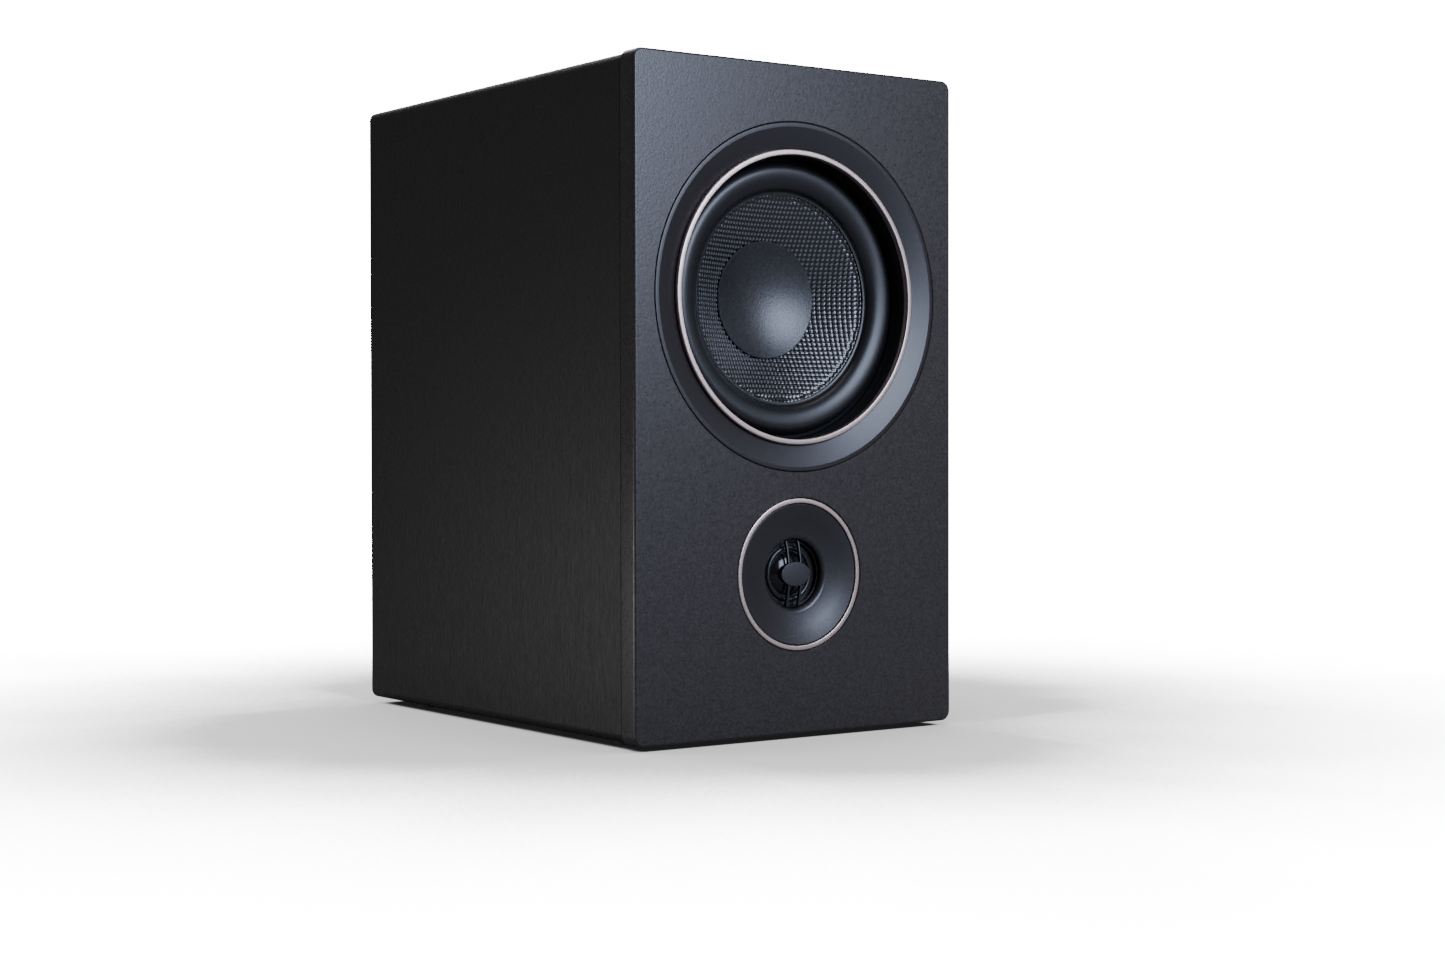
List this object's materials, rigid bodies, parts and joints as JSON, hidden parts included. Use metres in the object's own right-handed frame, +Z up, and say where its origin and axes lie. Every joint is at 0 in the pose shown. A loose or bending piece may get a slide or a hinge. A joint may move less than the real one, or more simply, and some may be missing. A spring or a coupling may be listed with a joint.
{
  "type": "bookshelf speaker",
  "caption": "Two-way bass-reflex bookshelf speaker: vinyl-wrapped box, grooved baffle, woven-cone woofer above a small dome tweeter, rear port and binding posts.",
  "frame": {"origin": "middle of the footprint, on the surface the rubber feet stand on", "axes": "+Z up, -Y out of the baffle towards the listener, +X to the right seen from the front"},
  "size_m": [0.171, 0.239, 0.2905],
  "materials": {
    "vinyl_wrap": "black ash grain vinyl on MDF",
    "baffle_paint": "fine textured satin paint on MDF",
    "rubber_black": "matte",
    "driver_trim": "smooth satin",
    "accent_ring": "turned, champagne anodised",
    "frame_black": "black powder coat",
    "gasket_foam": "closed-cell foam",
    "steel_zinc": "zinc plated",
    "surround_rubber": "satin moulded rubber",
    "woven_cone": "flat-tow woven fibre, clear coated",
    "dust_cap": "matte moulded",
    "coil_copper": "enamelled wire",
    "ferrite": "ground ferrite",
    "spider_cloth": "resin-treated cloth",
    "gloss_black": "gloss moulded",
    "black_plastic": "fine satin moulded",
    "black_screw": "black phosphate",
    "gold_brass": "gold plated",
    "knob_red": "moulded",
    "knob_black": "moulded",
    "wadding": "polyester fibre",
    "board_green": "solder mask",
    "capacitor_film": "wrapped film",
    "cement": "cement block",
    "lead_jacket": "PVC jacket"
  },
  "bodies": {
    "root": {"cabinet_wrap": "vinyl_wrap", "back_panel": "vinyl_wrap", "front_baffle": "baffle_paint", "damping_wadding": "wadding", "rubber_foot_1": "rubber_black", "rubber_foot_2": "rubber_black", "rubber_foot_3": "rubber_black", "rubber_foot_4": "rubber_black", "woofer_trim_ring": "driver_trim", "woofer_accent_ring": "accent_ring", "woofer_basket": "frame_black", "woofer_gasket": "gasket_foam", "woofer_screw_1": "steel_zinc", "woofer_screw_2": "steel_zinc", "woofer_screw_3": "steel_zinc", "woofer_screw_4": "steel_zinc", "woofer_surround": "surround_rubber", "woofer_spider": "spider_cloth", "woofer_top_plate": "steel_zinc", "woofer_magnet": "ferrite", "woofer_yoke": "steel_zinc", "woofer_tag_strip": "spider_cloth", "tweeter_waveguide": "driver_trim", "tweeter_accent_ring": "accent_ring", "tweeter_bridge": "gloss_black", "tweeter_surround": "surround_rubber", "tweeter_top_plate": "steel_zinc", "tweeter_pole_cap": "steel_zinc", "tweeter_magnet": "ferrite", "tweeter_pot": "steel_zinc", "tweeter_screw_1": "steel_zinc", "tweeter_screw_2": "steel_zinc", "tweeter_screw_3": "steel_zinc", "port_tube": "black_plastic", "terminal_cup": "black_plastic", "terminal_screw_1": "black_screw", "terminal_screw_2": "black_screw", "terminal_screw_3": "black_screw", "terminal_screw_4": "black_screw", "post_stud_red": "gold_brass", "post_nut_red": "steel_zinc", "post_stud_black": "gold_brass", "post_nut_black": "steel_zinc", "crossover_board": "board_green", "woofer_inductor": "coil_copper", "tweeter_inductor": "coil_copper", "woofer_capacitor": "capacitor_film", "tweeter_capacitor": "capacitor_film", "tweeter_resistor": "cement", "woofer_lead": "lead_jacket", "tweeter_lead": "lead_jacket"},
    "woofer_moving": {"woofer_cone": "woven_cone", "woofer_dust_cap": "dust_cap", "woofer_voice_coil": "coil_copper"},
    "tweeter_moving": {"tweeter_dome": "gloss_black", "tweeter_voice_coil": "coil_copper"},
    "red_clamp": {"post_washer_red": "gold_brass"},
    "red_knob": {"post_knob_red": "knob_red"},
    "black_clamp": {"post_washer_black": "gold_brass"},
    "black_knob": {"post_knob_black": "knob_black"}
  },
  "joints": [
    {"name": "woofer_travel", "type": "slide", "parent": "root", "child": "woofer_moving", "axis": [0, -1, 0], "range_m": [-0.004, 0.004], "stiffness_N_per_m": 900, "deforming": ["woofer_surround", "woofer_spider"]},
    {"name": "tweeter_travel", "type": "slide", "parent": "root", "child": "tweeter_moving", "axis": [0, -1, 0], "range_m": [-0.0003, 0.0003], "stiffness_N_per_m": 1500, "deforming": ["tweeter_surround"]},
    {"name": "red_clamp_travel", "type": "slide", "parent": "root", "child": "red_clamp", "axis": [0, 1, 0], "range_m": [0, 0.005]},
    {"name": "red_knob_turn", "type": "hinge", "parent": "red_clamp", "child": "red_knob", "pos_m": [-0.00953, 0.1, 0.09], "axis": [0, 1, 0], "range_deg": [0, 1800]},
    {"name": "black_clamp_travel", "type": "slide", "parent": "root", "child": "black_clamp", "axis": [0, 1, 0], "range_m": [0, 0.005]},
    {"name": "black_knob_turn", "type": "hinge", "parent": "black_clamp", "child": "black_knob", "pos_m": [0.00953, 0.1, 0.09], "axis": [0, 1, 0], "range_deg": [0, 1800]}
  ],
  "couplings": [
    {"joint": "red_knob_turn", "follows": "red_clamp_travel", "rad_per_m": 6283.2},
    {"joint": "black_knob_turn", "follows": "black_clamp_travel", "rad_per_m": 6283.2}
  ]
}
